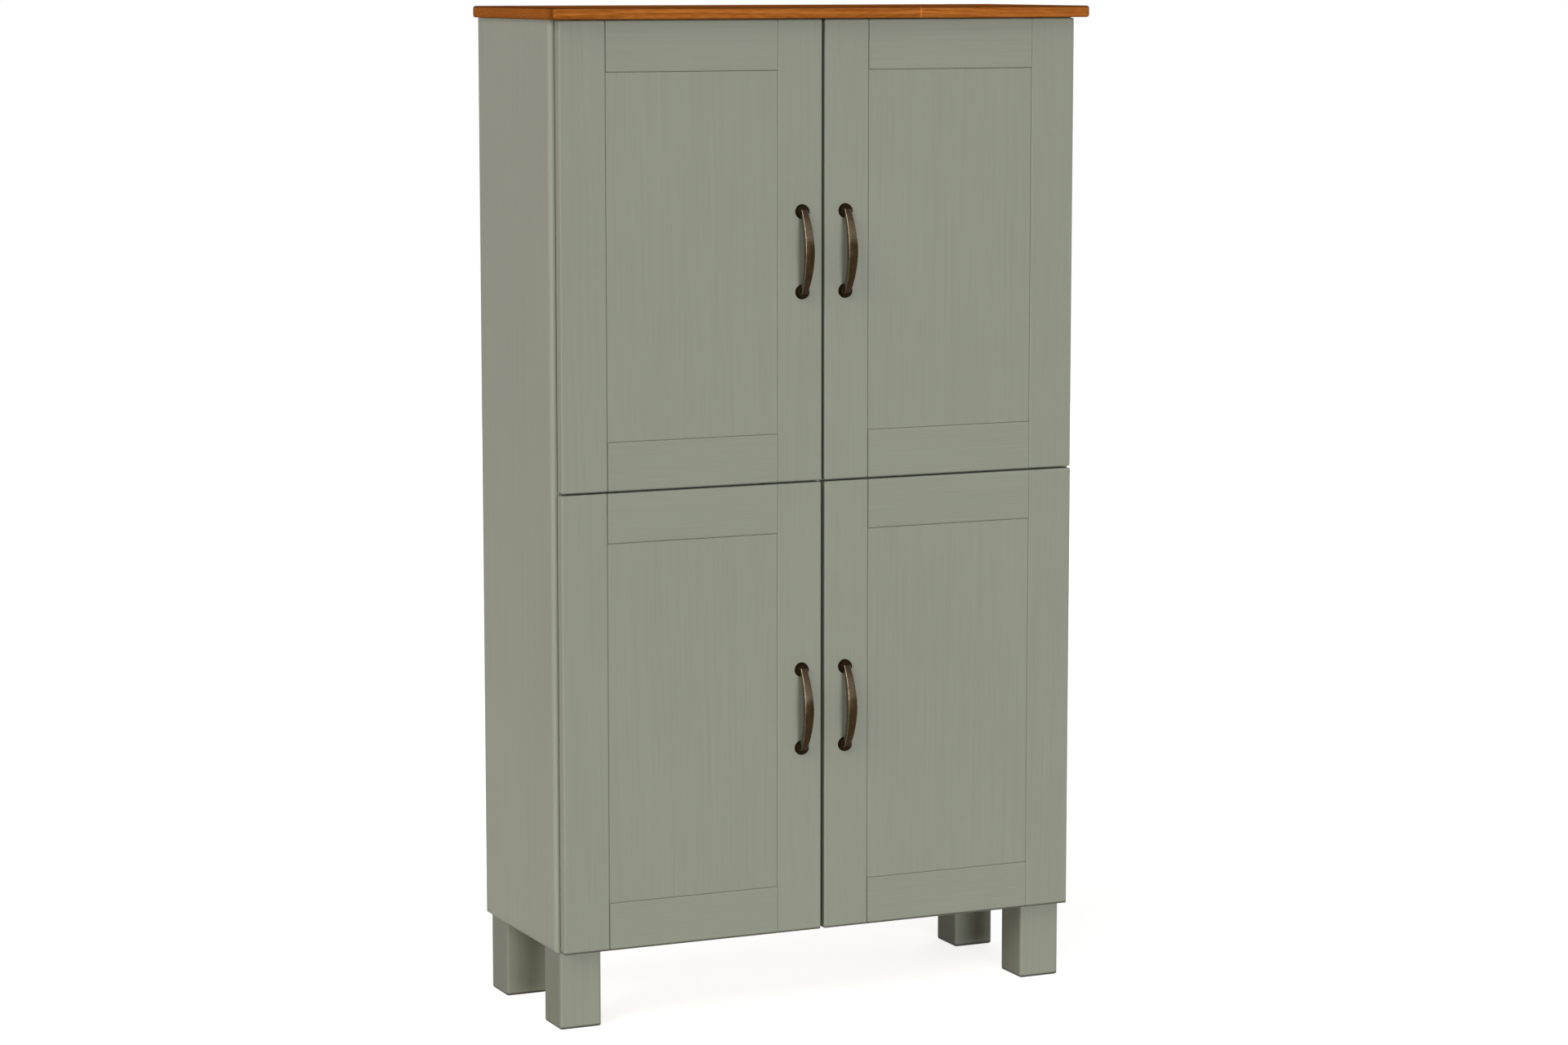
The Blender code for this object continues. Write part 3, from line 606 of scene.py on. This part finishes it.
def strap_wear_and_sheen(along, corner, step):
    """How far the patina is rubbed through, with a painted reflection added: a sheen on the front's upper part and
    a paler upper arris; along runs from -1 at the lower foot to 1 at the upper.
    """
    if corner > 1:
        return RUB_BACK
    from_front = CORNER_STEPS - step if corner == 0 else step
    if from_front == 0:
        # Painted reflection: a sheen on the front's upper part.
        sheen = smooth(along, *SHEEN_RISE) * (1 - SHEEN_LOSS * smooth(along, *SHEEN_FALL))
        return RUB_FRONT + PAINTED_FRONT_SHEEN * sheen
    if from_front == CORNER_STEPS:
        return RUB_FLANK
    # Wear on the arris, made paler on the upper part by a painted reflection.
    return RUB_ARRIS + ARRIS_UPPER_SHEEN * smooth(along, *UPPER_RISE)


def bow_handle(door):
    """A tapered strap bent to an arc between two round feet, in place of the door's plain handle."""
    low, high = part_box(f"{door}_handle")
    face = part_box(f"{door}_lock_stile")[0].y
    x, z = (low.x + high.x) / 2, (low.z + high.z) / 2
    half = HANDLE_CENTRES / 2
    crown = face - low.y - HANDLE_MID_THICKNESS / 2
    rise = crown - FOOT_HEIGHT
    radius = (half * half + rise * rise) / (2 * rise)
    sweep = math.asin(half / radius)
    shape = bmesh.new()
    wear_and_sheen = shape.verts.layers.float.new("wear_and_sheen")
    clean = shape.verts.layers.float.new("clean")
    rings = []
    for station in range(STATIONS + 1):
        along = 2 * station / STATIONS - 1
        taper = abs(along) ** HANDLE_TAPER
        turn = sweep * along * STRAP_REACH
        out = Vector((0, -math.cos(turn), math.sin(turn)))
        middle = Vector((x, face + radius - crown, z)) + radius * out
        wide = HANDLE_MID_WIDTH + (HANDLE_END_WIDTH - HANDLE_MID_WIDTH) * taper
        deep = HANDLE_MID_THICKNESS + (HANDLE_END_THICKNESS - HANDLE_MID_THICKNESS) * taper
        ring = []
        for side, lift, corner, step in strap_outline(wide, deep):
            spot = shape.verts.new(middle + Vector((side, 0, 0)) + out * lift)
            # Wear, with a painted reflection on the strap's upper part.
            spot[wear_and_sheen] = strap_wear_and_sheen(along, corner, step)
            spot[clean] = 1 - END_GRIME * smooth(abs(along), *END_GRIME_RISE)
            ring.append(spot)
        rings.append(ring)
    for ring, after in zip(rings, rings[1:]):
        bridge(shape, ring, after)
    shape.faces.new(rings[0])
    shape.faces.new(rings[-1])
    made = piece(f"{door}_bow_handle", shape, BRONZE, f"{door}_door")
    feet = [Vector((x, face, z + end * half)) for end in (-1, 1)]
    for place in feet:
        add_foot(made, place)
    finish_bow(made.data, feet)
    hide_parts(f"{door}_handle")


def add_foot(bow, place):
    """Joins a round foot with its spigot onto the end of a bow."""
    shape = bmesh.new()
    turned(shape, FOOT_PROFILE, FOOT_SIDES, place, (0, -1, 0))
    bmesh.ops.recalc_face_normals(shape, faces=shape.faces)
    mesh = bpy.data.meshes.new("foot")
    shape.to_mesh(mesh)
    shape.free()
    mesh.materials.append(BRONZE)
    foot = bpy.data.objects.new("foot", mesh)
    bpy.context.scene.collection.objects.link(foot)
    bpy.context.view_layer.update()
    union = bow.modifiers.new("foot", "BOOLEAN")
    union.operation, union.solver, union.object = "UNION", "EXACT", foot
    joined = bpy.data.meshes.new_from_object(bow.evaluated_get(bpy.context.evaluated_depsgraph_get()))
    bow.modifiers.remove(union)
    bow.data = joined
    bpy.data.objects.remove(foot, do_unlink=True)


def finish_bow(mesh, feet):
    """Welds the slivers that the joining leaves, and makes the feet unrubbed, without painted sheen, and grimy all
    over.
    """
    shape = bmesh.new()
    shape.from_mesh(mesh)
    bmesh.ops.remove_doubles(shape, verts=shape.verts, dist=WELD)
    bmesh.ops.dissolve_degenerate(shape, edges=shape.edges, dist=WELD)
    wear_and_sheen, clean = (shape.verts.layers.float[word] for word in ("wear_and_sheen", "clean"))
    for spot in shape.verts:
        for place in feet:
            off = spot.co - place
            if math.hypot(off.x, off.z) < FOOT_RADIUS + WELD and -off.y < FOOT_HEIGHT + WELD:
                spot[wear_and_sheen] = spot[clean] = 0.0
    shape.to_mesh(mesh)
    shape.free()
    mesh.shade_smooth()
    mesh.set_sharp_from_angle(angle=SMOOTH_ANGLE)


for door in DOORS:
    bow_handle(door)

# Hinge ears and screws
HEAD_PROFILE = ((0.0029, 0.00150), (0.0035, 0.00135), (0.0039, 0.00095), (0.0040, 0.00040), (0.0040, -0.00030))
HEAD_SIDES = 24
CROSS_REACH = 0.0019
CROSS_HALF = 0.00045
CROSS_DEPTH = 0.0009
CROSS_TAPER = 0.75
EAR_ALONG = 0.024
EAR_INWARD = 0.0095
EAR_RADIUS = 0.0068
EAR_SIDES = 24
EAR_THICKNESS = 0.0010
EAR_SUNK = 0.0002
EAR_ROUND = 0.0004
EAR_ARC, EAR_ARC_STEPS = math.radians(38), 6
EAR_SCREW_SIZE, EAR_SCREW_TURN = 1.0, 0.4
RIM_RADIUS = 0.0175
PLATE_WEB = 0.0010
PLATE_DEPTH = 0.028
PLATE_SCREW_UP = 0.008
PLATE_SCREW_SIZE, PLATE_SCREW_TURN = 0.78, 0.7
HANDLE_SCREW_SIZE, HANDLE_SCREW_TURN = 1.15, 0.9


def screw(shape, place, direction, size, turn):
    """A pan head with a cross recess, standing on a surface."""
    spot = Matrix.Translation(place) @ facing(direction) @ Matrix.Rotation(turn, 4, "Z") @ Matrix.Scale(size, 4)

    def at(point):
        return shape.verts.new(spot @ point)

    rings = [[at(point) for point in circle(radius, height, HEAD_SIDES)] for radius, height in HEAD_PROFILE]
    for ring, after in zip(rings, rings[1:]):
        bridge(shape, ring, after)
    shape.faces.new(rings[-1])
    a, b = CROSS_REACH, CROSS_HALF
    cross = (
        (a, -b), (a, b), (b, b), (b, a), (-b, a), (-b, b), (-a, b), (-a, -b), (-b, -b), (-b, -a), (b, -a), (b, -b),
    )
    top = HEAD_PROFILE[0][1]
    upper = [at(Vector((x, y, top))) for x, y in cross]
    lower = [at(Vector((CROSS_TAPER * x, CROSS_TAPER * y, top - CROSS_DEPTH))) for x, y in cross]
    bridge(shape, upper, lower)
    shape.faces.new(lower)
    border = []
    for ring in (rings[0], upper):
        for step in range(len(ring)):
            pair = (ring[step], ring[(step + 1) % len(ring)])
            border.append(shape.edges.get(pair) or shape.edges.new(pair))
    bmesh.ops.triangle_fill(shape, edges=border, use_beauty=True)


def around(points):
    """The convex outline of flat points, in order."""
    ordered = sorted(set(points))
    chains = []
    for run in (ordered, ordered[::-1]):
        chain = []
        for point in run:
            while len(chain) > 1:
                (ax, ay), (bx, by) = chain[-2:]
                if (bx - ax) * (point[1] - ay) - (by - ay) * (point[0] - ax) > 0:
                    break
                chain.pop()
            chain.append(point)
        chains.append(chain[:-1])
    return chains[0] + chains[1]


def ear(shape, x, z, inward, upward, back):
    """A flat ear that joins a cup's rim to its screw; back is the door's rear face."""
    centre = Vector((inward * EAR_INWARD, upward * EAR_ALONG))
    aim = math.atan2(centre.y, centre.x)
    points = []
    for step in range(EAR_SIDES):
        angle = 2 * math.pi * step / EAR_SIDES
        points.append((centre.x + EAR_RADIUS * math.cos(angle), centre.y + EAR_RADIUS * math.sin(angle)))
    for step in range(-EAR_ARC_STEPS, EAR_ARC_STEPS + 1):
        angle = aim + EAR_ARC * step / EAR_ARC_STEPS
        points.append((RIM_RADIUS * math.cos(angle), RIM_RADIUS * math.sin(angle)))
    outline = [Vector(point) for point in around(points)]
    middle = sum(outline, Vector((0, 0))) / len(outline)
    rings = []
    for level, inset in ((-EAR_SUNK, 0), (EAR_THICKNESS - EAR_ROUND, 0), (EAR_THICKNESS, EAR_ROUND)):
        ring = []
        for point in outline:
            spot = point + (middle - point).normalized() * inset
            ring.append(shape.verts.new((x + spot.x, back + level, z + spot.y)))
        rings.append(ring)
    for ring, after in zip(rings, rings[1:]):
        bridge(shape, ring, after)
    shape.faces.new(rings[0])
    shape.faces.new(rings[-1])
    place = (x + centre.x, back + EAR_THICKNESS, z + centre.y)
    screw(shape, place, (0, 1, 0), EAR_SCREW_SIZE, EAR_SCREW_TURN + upward)


def middle_of(node):
    """The middle of a node's box."""
    low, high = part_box(node)
    return (low + high) / 2


def inward_of(door):
    """The way from a door's hinges to its handle, along X."""
    return 1 if door.endswith("left") else -1


def hinge_fixings(door):
    """The ears of a door's two hinges and the screws of its handle, on the door's rear face."""
    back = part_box(f"{door}_lock_stile")[1].y
    shape = bmesh.new()
    for word in ("upper", "lower"):
        cup = middle_of(f"{door}_{word}_hinge_cup")
        for upward in (-1, 1):
            ear(shape, cup.x, cup.z, inward_of(door), upward, back)
    handle = middle_of(f"{door}_handle")
    for end in (-1, 1):
        place = (handle.x, back, handle.z + end * HANDLE_CENTRES / 2)
        screw(shape, place, (0, 1, 0), HANDLE_SCREW_SIZE, HANDLE_SCREW_TURN * end)
    piece(f"{door}_hinge_fixings", shape, STEEL, f"{door}_door")


def plate_screws():
    """Two screws through each hinge plate into the side of the cabinet."""
    shape = bmesh.new()
    for door in DOORS:
        inward = inward_of(door)
        for word in ("upper", "lower"):
            low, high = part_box(f"{door}_{word}_hinge_arm")
            face = (high.x if inward > 0 else low.x) - inward * PLATE_WEB
            for upward in (-1, 1):
                place = (face, high.y - PLATE_DEPTH / 2, (low.z + high.z) / 2 + upward * PLATE_SCREW_UP)
                screw(shape, place, (inward, 0, 0), PLATE_SCREW_SIZE, PLATE_SCREW_TURN * upward)
    piece("hinge_plate_screws", shape, STEEL, "carcass")


for door in DOORS:
    hinge_fixings(door)
plate_screws()

# Studio
AMBIENT = 0.02
FILL_TINT = (1.0, 0.95, 0.84)
SIDE_TINT = (1.0, 0.915, 0.972)
SIDE_SPREAD = math.radians(3)
FLOOR_BOUNCE = 0.60
FLOOR_WHITE = 0.80
FLOOR_GLOW = 0.80
FLOOR_REACH, FLOOR_CELLS = 6.0, 8


def seen_directly(tree):
    """1 for camera, glossy and transmission rays, 0 for the light that falls on the object."""
    path = tree.add("LightPath").outputs
    total = path["Is Camera Ray"]
    for word in ("Is Glossy Ray", "Is Transmission Ray"):
        total = tree.math("MAXIMUM", total, path[word])
    return total


def studio_world():
    """White to look at, and a faint fill on the object."""
    world = bpy.data.worlds.new("studio")
    bpy.context.scene.world = world
    tree = Tree(world)
    soft = tree.add("Background", {"Color": colour(*FILL_TINT), "Strength": AMBIENT})
    white = tree.add("Background", {"Color": colour(*WHITE), "Strength": 1.0})
    shown = tree.add("MixShader", {0: seen_directly(tree), 1: soft.outputs[0], 2: white.outputs[0]})
    tree.add("OutputWorld", {"Surface": shown.outputs[0]})


def studio_floor():
    """A white floor that keeps the object's shadow, and doesn't block the low lights."""
    look = bpy.data.materials.new("studio_floor")
    tree = Tree(look)
    bright = tree.add("BsdfDiffuse", {"Color": shaded(WHITE, FLOOR_WHITE)})
    glow = tree.add("Emission", {"Strength": FLOOR_GLOW})
    both = tree.add("AddShader", {0: bright.outputs[0], 1: glow.outputs[0]})
    dull = tree.add("BsdfDiffuse", {"Color": shaded(FILL_TINT, FLOOR_BOUNCE)})
    shown = tree.add("MixShader", {0: seen_directly(tree), 1: dull.outputs[0], 2: both.outputs[0]})
    tree.add("OutputMaterial", {"Surface": shown.outputs[0]})
    shape = bmesh.new()
    bmesh.ops.create_grid(shape, x_segments=FLOOR_CELLS, y_segments=FLOOR_CELLS, size=FLOOR_REACH)
    mesh = bpy.data.meshes.new("studio_floor")
    shape.to_mesh(mesh)
    shape.free()
    mesh.materials.append(look)
    floor = bpy.data.objects.new("studio_floor", mesh)
    bpy.context.scene.collection.objects.link(floor)
    floor.visible_shadow = False


def softbox(name, place, aim, width, height, power, spread=math.pi, tint=WHITE):
    """A rectangular lamp that the camera doesn't see."""
    lamp = bpy.data.lights.new(name, "AREA")
    lamp.shape = "RECTANGLE"
    lamp.size, lamp.size_y, lamp.energy = width, height, power
    lamp.spread, lamp.color = spread, tint
    made = bpy.data.objects.new(name, lamp)
    bpy.context.scene.collection.objects.link(made)
    made.location = place
    made.rotation_euler = (Vector(aim) - Vector(place)).to_track_quat("-Z", "Y").to_euler()
    made.visible_camera = False


def far_light(name, azimuth, elevation, share, width, tint=WHITE):
    """Light from far off, in degrees; azimuth 0 is in front of the doors, positive to the right.

    A share of 1 lights white to white.
    """
    lamp = bpy.data.lights.new(name, "SUN")
    lamp.energy, lamp.angle, lamp.color = math.pi * share, math.radians(width), tint
    turn, rise = math.radians(azimuth), math.radians(elevation)
    source = Vector((math.sin(turn) * math.cos(rise), -math.cos(turn) * math.cos(rise), math.sin(rise)))
    made = bpy.data.objects.new(name, lamp)
    bpy.context.scene.collection.objects.link(made)
    made.rotation_euler = (-source).to_track_quat("-Z", "Y").to_euler()


studio_world()
studio_floor()
far_light("front_light", azimuth=-3.0, elevation=4.0, share=0.575, width=22.0)
far_light("left_light", azimuth=-31.0, elevation=7.0, share=0.075, width=24.0)
far_light("high_light", azimuth=-60.0, elevation=35.0, share=0.408, width=40.0, tint=FILL_TINT)
far_light("rear_light", azimuth=138.0, elevation=12.0, share=0.30, width=60.0)
far_light("top_light", azimuth=-10.0, elevation=80.0, share=0.08, width=40.0)
softbox("sheen_light", place=(1.07, -2.49, 2.53), aim=(0.0, -0.13, 0.65), width=1.2, height=1.6, power=3.35)
softbox(
    "side_light", place=(-0.85, 0.011, 0.66), aim=(0.0, 0.011, 0.66), width=0.256, height=1.13,
    power=0.319, spread=SIDE_SPREAD, tint=SIDE_TINT,
)

# Camera at the photograph's angle
IMAGE_WIDTH = 1920
FOCAL_PIXELS = 5000.0
SENSOR_WIDTH = 36.0
CAMERA_YAW = 0.4269
CAMERA_PITCH = 0.1342
CAMERA_DISTANCE = 4.9039
CAMERA_AIM = Vector((-0.05183, -0.11425, 0.60004))

flat = math.cos(CAMERA_PITCH)
view = Vector((math.sin(CAMERA_YAW) * flat, math.cos(CAMERA_YAW) * flat, -math.sin(CAMERA_PITCH)))
lens = bpy.data.cameras.new("camera")
lens.sensor_width = SENSOR_WIDTH
lens.lens = FOCAL_PIXELS / IMAGE_WIDTH * SENSOR_WIDTH
camera = bpy.data.objects.new("camera", lens)
bpy.context.scene.collection.objects.link(camera)
camera.location = CAMERA_AIM - CAMERA_DISTANCE * view
camera.rotation_euler = view.to_track_quat("-Z", "Y").to_euler()
bpy.context.scene.camera = camera
bpy.context.scene.view_settings.view_transform = "Standard"
